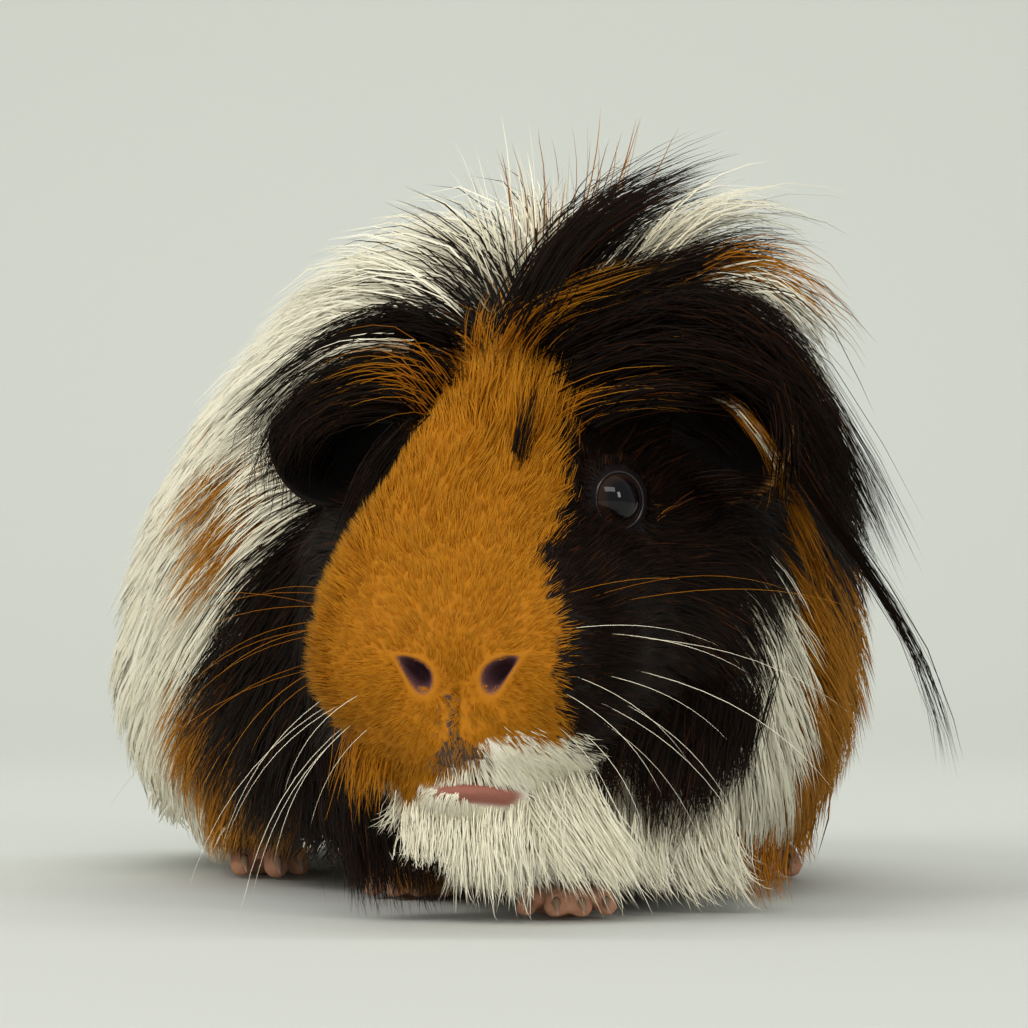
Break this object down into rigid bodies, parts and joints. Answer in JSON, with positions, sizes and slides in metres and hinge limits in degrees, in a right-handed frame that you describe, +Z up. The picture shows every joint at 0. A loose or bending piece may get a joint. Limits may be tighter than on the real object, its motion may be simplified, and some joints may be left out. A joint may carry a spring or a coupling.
{
  "type": "life-size guinea pig model",
  "caption": "Still, life-size guinea pig with a long, swept coat and a high crest, standing low on the floor with its head turned to its right and its left forepaw forward.",
  "frame": {"origin": "on the floor, at the middle of the bottom of the animal's box", "axes": "-Y is the way the animal faces, +X is its left side, +Z is up"},
  "size_m": [0.137, 0.25, 0.1193],
  "materials": {
    "ginger_fur": "short dense fur, matt with a soft sheen",
    "black_fur": "glossy fur, brown where light grazes it",
    "cream_fur": "long soft fur, matt",
    "brown_fur": "long soft fur, matt",
    "foot_skin": "fine wrinkled skin under thin short fur",
    "ear_skin": "thin smooth skin with sparse fine hair",
    "eye": "wet gloss"
  },
  "bodies": {
    "root": {"crest": "cream_fur", "ear_left": "ear_skin", "ear_right": "ear_skin", "eye_left": "eye", "eye_right": "eye", "foreleg_left": "foot_skin", "foreleg_right": "foot_skin", "head": "ginger_fur", "hindfoot_left": "foot_skin", "hindfoot_right": "foot_skin", "lock_left": "black_fur", "neck": "black_fur", "rump": "cream_fur", "thigh_left": "brown_fur", "thigh_right": "brown_fur", "trunk": "cream_fur"}
  },
  "joints": []
}
